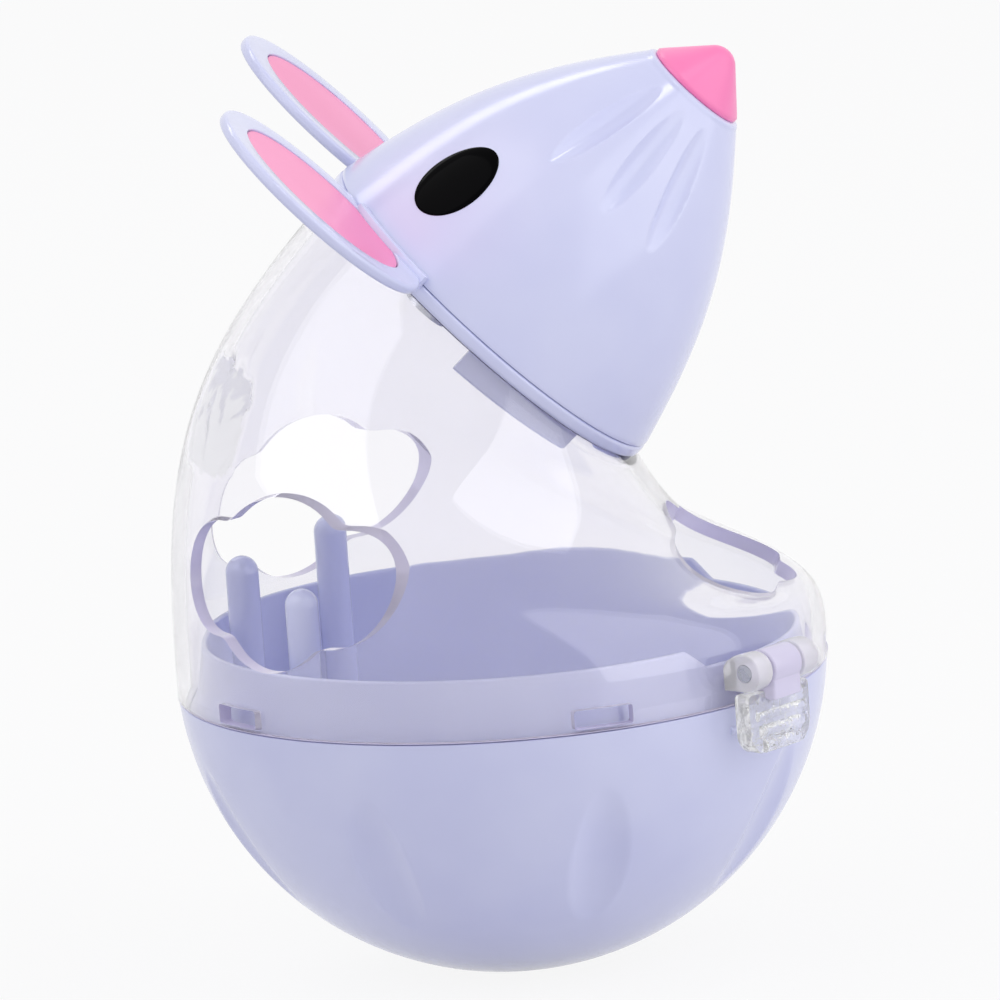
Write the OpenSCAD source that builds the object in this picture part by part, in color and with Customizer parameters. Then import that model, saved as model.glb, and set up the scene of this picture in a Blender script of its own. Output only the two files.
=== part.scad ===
// Wobble treat dispenser: a weighted bowl, a clear dome with treat holes and a mouse's head.
// Millimetres. The origin is on the floor under the middle of the bowl, +Z is up and +X is the mouse's front.

/* [Bowl] */
// Diameter of the bowl's ball
bowl_d = 75; // [70:0.5:80]
// Thickness of the bowl's wall
bowl_wall = 2; // [1.6:0.1:2.6]
// Diameter of the flat that the bowl rests on
foot_d = 9; // [6:0.5:14]
// How far the bowl's outer edge stays below the middle of the ball
rim_drop = 3.3; // [2.5:0.1:4.5]
// Height of the inner lip above the middle of the ball
lip_h = 3.5; // [3:0.1:4.5]
// Height of the lip in front, under the chest
lip_front_h = 1.3; // [0.6:0.1:1.6]
// Angle to each side of the front over which the lip is lowered
lip_front_turn = 48; // [45:1:52]
// Thickness of the lip at its foot
lip_wall = 1.8; // [1.4:0.1:2.2]
// How much the lip leans in towards its top
lip_draft = 1.1; // [0.8:0.1:1.3]
// Number of flutes around the bowl
flute_count = 8; // [4:2:10]
// Width of a flute at its middle
flute_w = 7; // [4:0.5:9]
// Length of a flute
flute_l = 20.5; // [14:0.5:22]
// Depth of a flute at its middle
flute_depth = 0.8; // [0.4:0.1:1]
// Direction of the first flute
flute_first = 20; // [0:1:45]
// Angle of the flutes' middle below the horizontal
flute_dip = 31; // [27:1:35]

/* [Weight and floor] */
// Depth of the counterweight's top face below the middle of the ball
weight_drop = 26; // [24:0.5:28]
// Depth of the floor's top face below the middle of the ball
floor_drop = 14.5; // [13.5:0.5:16]
// Thickness of the floor
floor_t = 2; // [1.6:0.1:2.4]
// Number of floor screws
floor_screws_n = 3; // [3:1:4]
// Distance of the floor screws from the middle
floor_screw_r = 20; // [18:0.5:21]
// Diameter of the floor screws' posts
post_d = 7; // [6:0.5:8]
// Inner diameter of the ring that holds the counterweight down
hold_ring_d = 18; // [14:1:20]
// Thickness of that ring
hold_ring_t = 1.5; // [1.2:0.1:2]
// Number of pegs
peg_count = 3; // [2:1:3]
// Diameter of a peg
peg_d = 3.8; // [3:0.1:4.4]
// Distance of the pegs from the middle
peg_r = 29.2; // [28:0.1:29.3]
// Height of the pegs' tops above the middle of the ball
peg_top = 12.2; // [10:0.1:12.6]
// Angle between two pegs
peg_step = 45; // [40:1:48]
// Direction of the first peg
peg_first = 133; // [130:1:136]

/* [Dome] */
// Thickness of the clear wall
dome_wall = 1.6; // [1.2:0.1:1.8]
// Outer diameter of the neck
neck_d = 45.6; // [44:0.2:46]
// How far in front of the bowl's axis the head's rim has its middle
neck_x = 2; // [0.5:0.1:3.5]
// Height of the rim's middle above the middle of the ball
neck_z = 39.6; // [38:0.1:41]
// Angle of the neck above the horizontal
neck_tilt = 44.3; // [42:0.1:47]
// How upright the chest leaves the skirt
chest_rise = 12.2; // [11:0.1:13]
// How upright the back leaves the skirt
back_rise = 23.5; // [20:0.5:28]
// How far the back runs straight into the neck
back_reach = 27.5; // [24:0.5:30]
// How far the throat drops from the neck
throat_drop = 22.2; // [20:0.1:24]
// How far the throat stands out below the neck
throat_out = 10.2; // [9:0.1:11]
// How full the shoulders are beside the neck
shoulder = 2.1; // [0:0.1:4]

/* [Treat holes] */
// Height of a rear hole's round middle
hole_d = 19.6; // [16:0.2:20]
// Height of the chest hole's round middle
chest_hole_d = 17.2; // [15:0.2:19]
// Width of a hole over its two lobes
hole_w = 31; // [26:0.5:32]
// Height of the lobes
lobe_h = 13; // [10:0.5:14]
// Direction of the rear holes, to each side from the front
hole_turn = 133; // [130:1:137]
// Height of the rear holes above the middle of the ball
hole_z = 14; // [13.5:0.1:15]
// Distance of the chest hole in front of the bowl's axis
chest_hole_x = 26.5; // [26:0.1:27.5]
// Height of the chest hole above the middle of the ball
chest_hole_z = 9.4; // [9:0.1:10]
// Angle of the chest hole's axis above the horizontal
chest_hole_tilt = 62; // [58:1:66]
// Number of places for snaps around the skirt, one of which the hinge takes
snap_count = 5; // [3:1:5]
// Direction of the first snap window
window_first = -70; // [-75:1:-66]
// Width of a snap window
window_w = 7; // [5:0.5:8]
// Height of a snap window
window_h = 2.2; // [1.4:0.1:2.4]

/* [Rear hinge and front clip] */
// Direction of the front clip; the hinge is opposite
clip_turn = -37; // [-40:1:-34]
// Gap between the ball and the hinge's knuckles
knuckle_gap = 0.2; // [0.1:0.05:0.6]
// Depth of the hinge pin below the middle of the ball
hinge_drop = 5.6; // [5.5:0.1:6.5]
// Diameter of the hinge's knuckles
knuckle_d = 4.6; // [4:0.1:4.7]
// Depth of the top of the dome's hinge arm below the middle of the ball
arm_drop = 0.6; // [0.4:0.1:1]
// Width of the dome's knuckle
knuckle_w = 5; // [4:0.5:7]
// Width of each of the bowl's knuckles
side_knuckle_w = 3; // [2.5:0.5:4]
// Diameter of the hinge pin and the clip pin
pin_d = 2; // [1.6:0.1:2.2]
// Height of the clip pin above the middle of the ball
clip_z = 1; // [0.5:0.1:1.4]
// Diameter of the clip's barrel
barrel_d = 4.4; // [4:0.1:4.5]
// Width of the clip's barrel
barrel_w = 5; // [4:0.5:6]
// Width of each of the dome's lugs beside the barrel
lug_w = 2.6; // [2:0.1:3.5]
// Depth of the clip's lower end below its pin
clip_l = 9.7; // [9:0.1:10.5]
// Thickness of the clip's plate
clip_t = 2.2; // [1.8:0.1:2.4]
// Radius of the clip's lower corners
clip_corner_r = 2.6; // [2:0.1:3]
// How far the clip's strap stays behind the front of its barrel
strap_step = 0.4; // [0.2:0.1:0.6]
// Diameter of the grip along the clip's lower end
grip_d = 1.6; // [1.2:0.1:2]
// Height of the grip and the hook above the clip's lower end
grip_rise = 1; // [0.9:0.1:1.2]
// How far the grip and the hook stay inside the clip's sides
grip_inset = 2; // [1.8:0.1:2.5]
// Thickness of the clip's hook
hook_t = 0.8; // [0.6:0.1:1]
// Diameter of the keeper rib on the bowl
keeper_d = 1.2; // [1:0.1:1.4]
// Height of the keeper rib above the clip's lower end
keeper_rise = 2.6; // [2.5:0.1:3]
// How deep the keeper rib's middle lies inside the ball's radius
keeper_sink = 1.05; // [1:0.05:1.2]

/* [Head] */
// Diameter of the head at its rim
head_d = 46.8; // [46.4:0.2:48]
// Length of the head from its rim to the nose
head_l = 34.5; // [33:0.1:36]
// Diameter of the head's end, behind the nose
muzzle_d = 12.6; // [11:0.2:14]
// Thickness of the head's wall
head_wall = 1.8; // [1.5:0.1:2]
// How little the cheeks draw in from the head's rim
cheek_draw = 3.3; // [2.8:0.1:3.8]
// Share of the head's length over which the cheeks stay full
cheek_reach = 0.41; // [0.38:0.001:0.44]
// How much wider than the muzzle the snout swells
snout_swell = 10.3; // [9.5:0.1:11]
// Share of the head's length at which the snout swells
snout_reach = 0.645; // [0.61:0.001:0.68]
// How far the muzzle's edge stands out around the nose
nose_step = 0.3; // [0.2:0.05:0.6]
// Height of the nose's straight edge
nose_edge = 0.5; // [0.3:0.1:0.8]
// Length of the nose
nose_l = 5.7; // [4.5:0.1:6.5]
// Roundness of the nose's tip, as a radius
nose_tip_r = 2.4; // [1.5:0.1:3]
// Diameter of the nose's stem
nose_stem_d = 4; // [3:0.2:5]
// Length of an eye
eye_l = 10.9; // [9:0.1:12]
// Width of an eye
eye_w = 7.6; // [7:0.1:9]
// Distance of the eyes' middle from the head's rim
eye_z = 10.5; // [9.5:0.1:12]
// Direction of the eyes, to each side from the top of the head
eye_turn = 45; // [42:1:48]
// How far the eyes stand proud of the head
eye_proud = 0.4; // [0.2:0.05:0.6]
// How deep the eyes are let into the head
eye_depth = 0.8; // [0.5:0.05:1]
// Width of the whisker flutes' cutter
whisker_d = 3; // [2:0.1:4]
// Angles of the whisker flutes from the top of the head
whisker_turns = [62, 90, 115];
// Where along the head's edge the whisker flutes begin
whisker_from = 0.56; // [0.5:0.01:0.65]
// Where along the head's edge the whisker flutes end
whisker_to = 0.93; // [0.85:0.01:0.97]
// Number of head screws
head_screws_n = 3; // [3:1:4]
// Distance of the head screws from the neck's axis
head_screw_r = 13.5; // [12:0.5:14]

/* [Ears] */
// Diameter of an ear
ear_d = 29.5; // [27:0.5:31]
// Thickness of the ear plate
ear_t = 1.7; // [1.5:0.1:2.2]
// How far the ears' middles lie above the neck's axis
ear_rise = 25.2; // [24:0.1:27]
// Distance between the ears' middles
ear_spread = 48.5; // [46:0.5:50]
// Thickness of the ears themselves
ear_disc_t = 1.3; // [1.2:0.05:1.5]
// How far the ears' faces stand above the plate under the head
ear_lift = 0.5; // [0.3:0.1:0.6]
// Height of the collar on each ear, beside the head
collar_h = 1.1; // [0.8:0.1:1.3]
// Thickness of the collars
collar_w = 1.2; // [1:0.1:1.5]
// Direction of the collars' middles, to each side from the throat
collar_turn = 131; // [128:1:134]
// Angle that each collar covers
collar_arc = 32; // [28:1:36]
// Diameter of the ear inlays
inlay_d = 22.6; // [20:0.2:24]
// Thickness of the ear inlays
inlay_t = 0.7; // [0.5:0.05:0.8]
// Depth of the snap tabs under the ear plate
tab_l = 3.3; // [2.5:0.1:4]
// Thickness of the snap tabs
tab_t = 1.7; // [1.4:0.1:2]
// Direction of the snap tabs' middles, to each side from the throat
tab_turn = 68; // [64:1:74]
// Angle that each snap tab covers
tab_arc = 49; // [40:1:55]
// Height of the ring that centres the head on the ear plate
spigot_h = 2; // [1.5:0.1:3]
// Thickness of that ring
spigot_t = 1.5; // [1:0.1:2]

/* [Fits] */
// Gap between pieces that move past each other
move_gap = 0.4; // [0.3:0.05:0.5]
// Gap between flat faces that rest on each other
seat_gap = 0.15; // [0.1:0.05:0.2]
// Radial clearance of a pin that turns in its bore
run_gap = 0.06; // [0.03:0.01:0.1]
// Radial clearance of a pin that is held in its bore
hold_gap = 0.02; // [0.01:0.01:0.03]
// Gap around pieces that are let in
inset_gap = 0.1; // [0.05:0.05:0.2]
// Gap between the bowl's hollow and what lies in it
bowl_gap = 0.3; // [0.2:0.05:0.5]
// Gap between the clip's hook and the ball
hook_gap = 0.24; // [0.2:0.02:0.4]

/* [Screws] */
// Diameter of the screws' shanks
screw_d = 2.9; // [2.5:0.1:3.2]
// Diameter of the screws' heads
screw_head_d = 5.5; // [5:0.1:6]
// Height of the screws' heads
screw_head_h = 1.8; // [1.4:0.1:2]
// Length of the screws under the head
screw_l = 9; // [7:0.5:10]
// Width of the cross slot in the screws' heads
screw_slot_w = 0.8; // [0.6:0.1:1]
// Length of the cross slot
screw_slot_l = 3; // [2.4:0.1:3.4]
// Room under a screw's tip
pilot_spare = 1; // [0.5:0.1:1.5]
// Wall of the bosses that take the head screws
boss_wall = 1.7; // [1.4:0.1:2]

/* [Hidden] */

$fn = 64;
eps = 0.01;

// The ball and the rim
ball_r = bowl_d / 2;
foot_z = sqrt(pow(ball_r, 2) - pow(foot_d / 2, 2));
cavity_r = ball_r - bowl_wall;
skirt_in = ball_r - dome_wall;
lip_out = skirt_in - move_gap;
lip_in = lip_out - lip_wall;
lip_front_x = lip_out * cos(lip_front_turn);
lip_root = 1;
hinge_turn = clip_turn + 180;

// The flutes: a bent rod that sinks into the ball by the flute's depth
flute_rod_r = 1 / (2 * flute_depth / pow(flute_w / 2, 2) - 1 / ball_r);
flute_bend_r = 1 / (1 / ball_r - 2 * flute_depth / pow(flute_l / 2, 2));
flute_arc = 1.3 * flute_l / flute_bend_r * 180 / PI;

// The weight, the floor and its screws
inner_r = cavity_r - bowl_gap;
post_top = -floor_drop - floor_t;
post_hole_d = post_d + 2 * move_gap;
first_post_turn = 60;
pilot_d = screw_d + 2 * inset_gap;
pilot_l = screw_l - floor_t + pilot_spare;

// The neck and the dome's loft
neck_end = ear_t + seat_gap;
neck_axis = [cos(neck_tilt), 0, sin(neck_tilt)];
neck_down = [sin(neck_tilt), 0, -cos(neck_tilt)];
neck_mid = [neck_x, 0, neck_z];
dome_sides = 72;
dome_steps = 16;
throat_lean = [-throat_out, 0, throat_drop];
skirt_bottom = -rim_drop + seat_gap;
window_z = skirt_bottom / 2;
hole_cut_l = ball_r / 2;

// The clip and the hinge
hinge_r = ball_r + knuckle_gap + knuckle_d / 2;
hinge_w = knuckle_w + 2 * side_knuckle_w + 2 * move_gap;
clip_r = ball_r + move_gap + barrel_d / 2;
clip_w = barrel_w + 2 * lug_w + 2 * move_gap;
clip_plate_r = ball_r + 2 * move_gap;
clip_plate_top = clip_z - barrel_d / 2 - move_gap;
clip_bottom = clip_z - clip_l;
strap_lap = 1;
grip_z = clip_bottom + grip_rise;
grip_w = clip_w - 2 * grip_inset;
hook_r = ball_r + hook_gap;
keeper_z = clip_bottom + keeper_rise;
keeper_w = clip_w - grip_inset;

// The head
tab_out = neck_d / 2 - dome_wall - move_gap;
collar_in = head_d / 2 + inset_gap;
collar_root = head_d / 2 - collar_w;
profile_steps = 24;
head_edge = [[head_d / 2, 0], [head_d / 2 - cheek_draw, cheek_reach * head_l],
             [muzzle_d / 2 + snout_swell, snout_reach * head_l], [muzzle_d / 2, head_l]];
end_share = 0.7;
spigot_out = head_at(head_u(spigot_h + end_share * head_wall))[0] - head_wall - move_gap;
eye_cut_h = 8;

// A point on a cubic curve with four control points
function curve(p, u) =
    pow(1 - u, 3) * p[0] + 3 * pow(1 - u, 2) * u * p[1] + 3 * (1 - u) * pow(u, 2) * p[2] + pow(u, 3) * p[3];

// A vector of length 1
function unit(v) = v / norm(v);

// The dome's outer curve at angle a from the front: from the skirt up to the neck's rim
function dome_curve(a) =
    let (back = (1 - cos(a)) / 2)
    let (foot = [ball_r * cos(a), ball_r * sin(a), 0])
    let (top = neck_mid - neck_end * neck_axis + neck_d / 2 * (cos(a) * neck_down + [0, sin(a), 0]))
    [foot, foot + [0, 0, chest_rise + (back_rise - chest_rise) * back],
     top - back * back_reach * neck_axis - (1 - back) * throat_lean + [0, shoulder * sin(a), 0], top];

function dome_point(a, u) = curve(dome_curve(a), u);

// The dome's outward normal, from small steps along and around it
function dome_normal(a, u) =
    let (low = dome_point(a, max(u - 0.01, 0)))
    let (high = dome_point(a, min(u + 0.01, 1)))
    let (around = dome_point(a + 0.5, u) - dome_point(a - 0.5, u))
    unit(cross(around, high - low));

// A ring of the dome: its skirt, its outer face or its inner face
function ring_turn(i) = 360 * i / dome_sides;
function skirt_ring(r) =
    [for (i = [0:dome_sides - 1]) [r * cos(ring_turn(i)), r * sin(ring_turn(i)), skirt_bottom]];
function outer_ring(u) = [for (i = [0:dome_sides - 1]) dome_point(ring_turn(i), u)];
function inner_ring(u) =
    [for (i = [0:dome_sides - 1])
        let (a = ring_turn(i))
        u > 0.99
            ? dome_point(a, 1) - dome_wall * (cos(a) * neck_down + [0, sin(a), 0])
            : dome_point(a, u) - dome_wall * dome_normal(a, u)];

// A closed band of rings, the last joined to the first
module ring_band(rings) {
    n = len(rings);
    m = len(rings[0]);
    points = [for (ring = rings) each ring];
    faces = [for (j = [0:n - 1], i = [0:m - 1])
        let (k = (i + 1) % m)
        let (up = (j + 1) % n)
        each [[j * m + i, up * m + i, up * m + k], [j * m + i, up * m + k, j * m + k]]];
    polyhedron(points, faces, convexity = 8);
}

// Places children at the middle of the ball
module at_ball() {
    translate([0, 0, foot_z]) children();
}

// Places children at the middle of the head's rim, with +Z along the neck and +X towards the throat
module at_neck() {
    at_ball() translate(neck_mid) rotate([0, 90 - neck_tilt, 0]) children();
}

// A rod along Y
module cross_rod(d, w) {
    rotate([90, 0, 0]) cylinder(d = d, h = w, center = true);
}

// A block given by its corners
module block(low, high) {
    translate(low) cube(high - low);
}

// A pan-head screw that points down, with its seat at the origin
module screw() {
    difference() {
        union() {
            cylinder(d = screw_head_d, h = screw_head_h);
            translate([0, 0, -screw_l]) cylinder(d = screw_d, h = screw_l + eps);
        }
        for (turn = [0, 90])
            rotate([0, 0, turn]) translate([0, 0, screw_head_h])
                cube([screw_slot_l, screw_slot_w, screw_head_h], center = true);
    }
}

// The places of the floor screws and of the head screws
module floor_screw_places() {
    for (i = [0:floor_screws_n - 1])
        rotate([0, 0, first_post_turn + 360 * i / floor_screws_n])
            translate([floor_screw_r, 0, 0]) children();
}

module head_screw_places() {
    for (i = [0:head_screws_n - 1])
        rotate([0, 0, 360 * i / head_screws_n]) translate([head_screw_r, 0, 0]) children();
}

// Cutter of one flute
module flute_cutter() {
    rotate([0, flute_dip, 0])
        translate([ball_r - flute_depth - flute_bend_r, 0, 0])
            rotate([90, 0, 0]) rotate([0, 0, -flute_arc / 2])
                rotate_extrude(angle = flute_arc, $fn = 180)
                    translate([flute_bend_r + flute_rod_r, 0]) circle(flute_rod_r);
}

module base_bowl() {
    color("#c8cbe8") at_ball() difference() {
        union() {
            intersection() {
                sphere(ball_r, $fn = 128);
                translate([0, 0, -foot_z]) cylinder(r = ball_r + 1, h = foot_z - rim_drop);
            }
            translate([0, 0, -rim_drop - lip_root])
                cylinder(r1 = lip_out, r2 = lip_out - lip_draft, h = rim_drop + lip_root + lip_h, $fn = 128);
            rotate([0, 0, hinge_turn]) bowl_knuckles();
            rotate([0, 0, clip_turn]) translate([ball_r - keeper_sink, 0, keeper_z])
                cross_rod(keeper_d, keeper_w);
        }
        difference() {
            bowl_cavity();
            floor_screw_places() post();
        }
        block([lip_front_x, -ball_r, lip_front_h], [ball_r, ball_r, lip_h + 1]);
        for (i = [0:flute_count - 1])
            rotate([0, 0, flute_first + i * 360 / flute_count]) flute_cutter();
        rotate([0, 0, hinge_turn]) translate([hinge_r, 0, -hinge_drop])
            cross_rod(pin_d + 2 * hold_gap, hinge_w + 2);
    }
}

// The hollow of the bowl
module bowl_cavity() {
    intersection() {
        sphere(cavity_r, $fn = 128);
        translate([0, 0, -cavity_r]) cylinder(r = lip_in, h = cavity_r);
    }
    translate([0, 0, -rim_drop]) cylinder(r = lip_in, h = rim_drop + lip_h + 1);
}

// A post that a floor screw goes into
module post() {
    difference() {
        translate([0, 0, -cavity_r]) cylinder(d = post_d, h = cavity_r + post_top);
        translate([0, 0, post_top - pilot_l]) cylinder(d = pilot_d, h = pilot_l + 1);
    }
}

// The bowl's two hinge knuckles and their webs
module bowl_knuckles() {
    for (side = [-1, 1])
        translate([0, side * (hinge_w - side_knuckle_w) / 2, 0]) {
            translate([hinge_r, 0, -hinge_drop]) cross_rod(knuckle_d, side_knuckle_w);
            block([cavity_r, -side_knuckle_w / 2, -hinge_drop - knuckle_d / 2],
                  [hinge_r, side_knuckle_w / 2, -hinge_drop]);
        }
}

module counterweight() {
    color("#4a4d52") at_ball() difference() {
        intersection() {
            sphere(inner_r, $fn = 128);
            translate([0, 0, -ball_r]) cylinder(r = ball_r, h = ball_r - weight_drop);
        }
        floor_screw_places() translate([0, 0, -ball_r]) cylinder(d = post_hole_d, h = ball_r);
    }
}

module peg_floor() {
    color("#c4c7e4") at_ball() {
        difference() {
            intersection() {
                sphere(inner_r, $fn = 128);
                translate([0, 0, post_top]) cylinder(r = ball_r, h = floor_t);
            }
            floor_screw_places() translate([0, 0, -ball_r]) cylinder(d = pilot_d, h = ball_r);
        }
        difference() {
            translate([0, 0, -weight_drop + seat_gap])
                cylinder(d = hold_ring_d + 2 * hold_ring_t, h = weight_drop - seat_gap + post_top + eps);
            translate([0, 0, -ball_r]) cylinder(d = hold_ring_d, h = ball_r + post_top);
        }
        for (i = [0:peg_count - 1])
            rotate([0, 0, peg_first + i * peg_step]) translate([peg_r, 0, 0]) peg();
    }
}

// A peg with a round top
module peg() {
    translate([0, 0, -floor_drop - eps]) cylinder(d = peg_d, h = floor_drop + peg_top - peg_d / 2);
    translate([0, 0, peg_top - peg_d / 2]) sphere(d = peg_d);
}

module floor_screws() {
    color("#b9bcc2") at_ball() floor_screw_places() translate([0, 0, -floor_drop]) screw();
}

module hinge_pin() {
    color("#b9bcc2") at_ball() rotate([0, 0, hinge_turn])
        translate([hinge_r, 0, -hinge_drop]) cross_rod(pin_d, hinge_w);
}

// Outline of a treat hole, wide along X
module hole_outline(d) {
    circle(d = d);
    square([hole_w - lobe_h, lobe_h], center = true);
    for (side = [-1, 1])
        translate([side * (hole_w - lobe_h) / 2, 0]) circle(d = lobe_h);
}

// A treat hole's cutter, from the bowl's axis outwards
module hole_cutter(d, tilt) {
    rotate([0, -tilt, 0]) rotate([90, 0, 90])
        linear_extrude(hole_cut_l, center = true) hole_outline(d);
}

module clear_dome() {
    color("#e8e8f4", 0.4) at_ball() {
        difference() {
            ring_band(concat([skirt_ring(ball_r)],
                             [for (j = [0:dome_steps]) outer_ring(j / dome_steps)],
                             [for (j = [dome_steps:-1:0]) inner_ring(j / dome_steps)],
                             [skirt_ring(skirt_in)]));
            for (side = [-1, 1])
                rotate([0, 0, side * hole_turn]) translate([ball_r, 0, hole_z]) hole_cutter(hole_d, 0);
            translate([chest_hole_x, 0, chest_hole_z]) hole_cutter(chest_hole_d, chest_hole_tilt);
            for (i = [-1:snap_count - 3])
                rotate([0, 0, window_first + i * 360 / snap_count])
                    translate([ball_r, 0, window_z]) cube([4 * dome_wall, window_w, window_h], center = true);
        }
        rotate([0, 0, hinge_turn]) dome_knuckle();
        rotate([0, 0, clip_turn]) for (side = [-1, 1]) clip_lug(side);
    }
}

// The dome's hinge knuckle and the arm that carries it
module dome_knuckle() {
    difference() {
        union() {
            translate([hinge_r, 0, -hinge_drop]) cross_rod(knuckle_d, knuckle_w);
            block([ball_r + knuckle_gap, -knuckle_w / 2, -hinge_drop],
                  [hinge_r + knuckle_d / 2, knuckle_w / 2, -arm_drop]);
            block([ball_r - dome_wall / 2, -knuckle_w / 2, skirt_bottom + bowl_gap],
                  [hinge_r, knuckle_w / 2, -arm_drop]);
        }
        translate([hinge_r, 0, -hinge_drop]) cross_rod(pin_d + 2 * run_gap, knuckle_w + 2);
    }
}

// One of the two lugs that carry the clip's pin
module clip_lug(side) {
    translate([0, side * (clip_w - lug_w) / 2, 0]) difference() {
        union() {
            translate([clip_r, 0, clip_z]) cross_rod(barrel_d, lug_w);
            block([ball_r - dome_wall / 2, -lug_w / 2, clip_z - barrel_d / 2],
                  [clip_r, lug_w / 2, clip_z + barrel_d / 2]);
        }
        translate([clip_r, 0, clip_z]) cross_rod(pin_d + 2 * hold_gap, lug_w + 2);
    }
}

module front_clip() {
    color("#eef0fa", 0.5) at_ball() rotate([0, 0, clip_turn]) difference() {
        union() {
            translate([clip_r, 0, clip_z]) cross_rod(barrel_d, barrel_w);
            block([clip_plate_r, -barrel_w / 2, clip_plate_top - strap_lap],
                  [clip_r + barrel_d / 2 - strap_step, barrel_w / 2, clip_z]);
            translate([clip_plate_r, 0, 0]) rotate([90, 0, 90]) linear_extrude(clip_t) clip_outline();
            translate([clip_plate_r + clip_t, 0, grip_z]) cross_rod(grip_d, grip_w);
            block([hook_r, -grip_w / 2, grip_z - hook_t / 2],
                  [clip_plate_r + eps, grip_w / 2, grip_z + hook_t / 2]);
        }
        translate([clip_r, 0, clip_z]) cross_rod(pin_d + 2 * run_gap, barrel_w + 2);
    }
}

// Outline of the clip's plate, with round lower corners
module clip_outline() {
    corner_z = clip_bottom + clip_corner_r;
    translate([-clip_w / 2, corner_z]) square([clip_w, clip_plate_top - corner_z]);
    translate([-clip_w / 2 + clip_corner_r, clip_bottom])
        square([clip_w - 2 * clip_corner_r, clip_corner_r + eps]);
    for (side = [-1, 1])
        translate([side * (clip_w / 2 - clip_corner_r), corner_z]) circle(clip_corner_r);
}

module clip_pin() {
    color("#b9bcc2") at_ball() rotate([0, 0, clip_turn])
        translate([clip_r, 0, clip_z]) cross_rod(pin_d, clip_w);
}

// Places children at the middle of an ear's front face
module at_ear(side) {
    at_neck() translate([-ear_rise, side * ear_spread / 2, ear_lift]) children();
}

module ear_plate() {
    color("#e4e6f8") difference() {
        union() {
            at_neck() translate([0, 0, -ear_t]) cylinder(d = head_d, h = ear_t, $fn = 128);
            difference() {
                for (side = [-1, 1])
                    at_ear(side) translate([0, 0, -ear_disc_t]) cylinder(d = ear_d, h = ear_disc_t, $fn = 128);
                at_neck() cylinder(r = collar_in + collar_w / 2, h = ear_t, $fn = 128);
            }
            at_neck() for (side = [-1, 1])
                rotate([0, 0, side * collar_turn - collar_arc / 2]) ear_collar();
            at_neck() difference() {
                translate([0, 0, -eps]) cylinder(r = spigot_out, h = spigot_h, $fn = 128);
                translate([0, 0, -1]) cylinder(r = spigot_out - spigot_t, h = spigot_h + 2, $fn = 128);
            }
            at_neck() for (side = [-1, 1])
                rotate([0, 0, side * tab_turn - tab_arc / 2]) translate([0, 0, -ear_t - tab_l])
                    rotate_extrude(angle = tab_arc, $fn = 128)
                        translate([tab_out - tab_t, 0]) square([tab_t, tab_l + eps]);
        }
        for (side = [-1, 1]) difference() {
            at_ear(side) translate([0, 0, -inlay_t])
                cylinder(d = inlay_d + 2 * inset_gap, h = inlay_t + 1, $fn = 128);
            at_neck() translate([0, 0, -ear_t])
                cylinder(r = collar_in + collar_w + inset_gap / 2, h = 3 * ear_t, $fn = 128);
        }
        at_neck() head_screw_places() cylinder(d = pilot_d, h = 3 * ear_t, center = true);
    }
}

// The collar on an ear, which stands beside the head and is rooted in the plate under it
module ear_collar() {
    rotate_extrude(angle = collar_arc, $fn = 128)
        polygon([[collar_root, -ear_t / 2], [collar_in + collar_w, ear_lift - ear_disc_t / 2],
                 [collar_in + collar_w, collar_h], [collar_in, collar_h],
                 [collar_in, -ear_t / 4], [collar_root, -ear_t / 4]]);
}

// An ear's pink inlay, cut back where the collar and the head stand on the ear
module ear_inlay(side) {
    color("#ff8fc4") difference() {
        at_ear(side) translate([0, 0, -inlay_t]) cylinder(d = inlay_d, h = inlay_t, $fn = 128);
        at_neck() translate([0, 0, -ear_t])
            cylinder(r = collar_in + collar_w + inset_gap, h = 3 * ear_t, $fn = 128);
    }
}

module left_ear_inlay() {
    ear_inlay(1);
}

module right_ear_inlay() {
    ear_inlay(-1);
}

// The head's outer form, grown or shrunk by a wall
module head_form(grow) {
    end_grow = end_share * grow;
    low = min(end_grow, 0) - eps;
    edge = [for (i = [0:profile_steps]) head_at(i / profile_steps) + [grow, end_grow]];
    rotate_extrude($fn = 128)
        polygon(concat([[0, low], [edge[0][0], low]], edge, [[0, edge[profile_steps][1]]]));
}

// A point on the head's outer edge, the slope there, and where the edge reaches a height
function head_at(u) = curve(head_edge, u);
function head_slope(u) = let (d = head_at(u + 0.01) - head_at(u - 0.01)) atan2(d[0], d[1]);
function head_u(z, low = 0, high = 1, steps = 20) =
    let (mid = (low + high) / 2)
    steps == 0 ? mid : head_at(mid)[1] < z ? head_u(z, mid, high, steps - 1) : head_u(z, low, mid, steps - 1);

// Cutter of one whisker flute: a rod laid along a chord of the cheek
module whisker_cutter() {
    low = head_at(whisker_from);
    high = head_at(whisker_to);
    run = high - low;
    lean = atan2(run[0], run[1]);
    translate([low[0] + whisker_d / 2 * cos(lean), 0, low[1] - whisker_d / 2 * sin(lean)])
        rotate([0, lean, 0]) cylinder(d = whisker_d, h = norm(run));
}

// A prism over the eye's outline, square to the head's face
module eye_prism(side, grow) {
    u = head_u(eye_z);
    rotate([0, 0, 180 - side * eye_turn]) translate([head_at(u)[0], 0, eye_z])
        rotate([0, 90 + head_slope(u), 0])
            linear_extrude(eye_cut_h, center = true)
                polygon([for (a = [0:7.5:359]) [(eye_l / 2 + grow) * cos(a), (eye_w / 2 + grow) * sin(a)]]);
}

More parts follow.
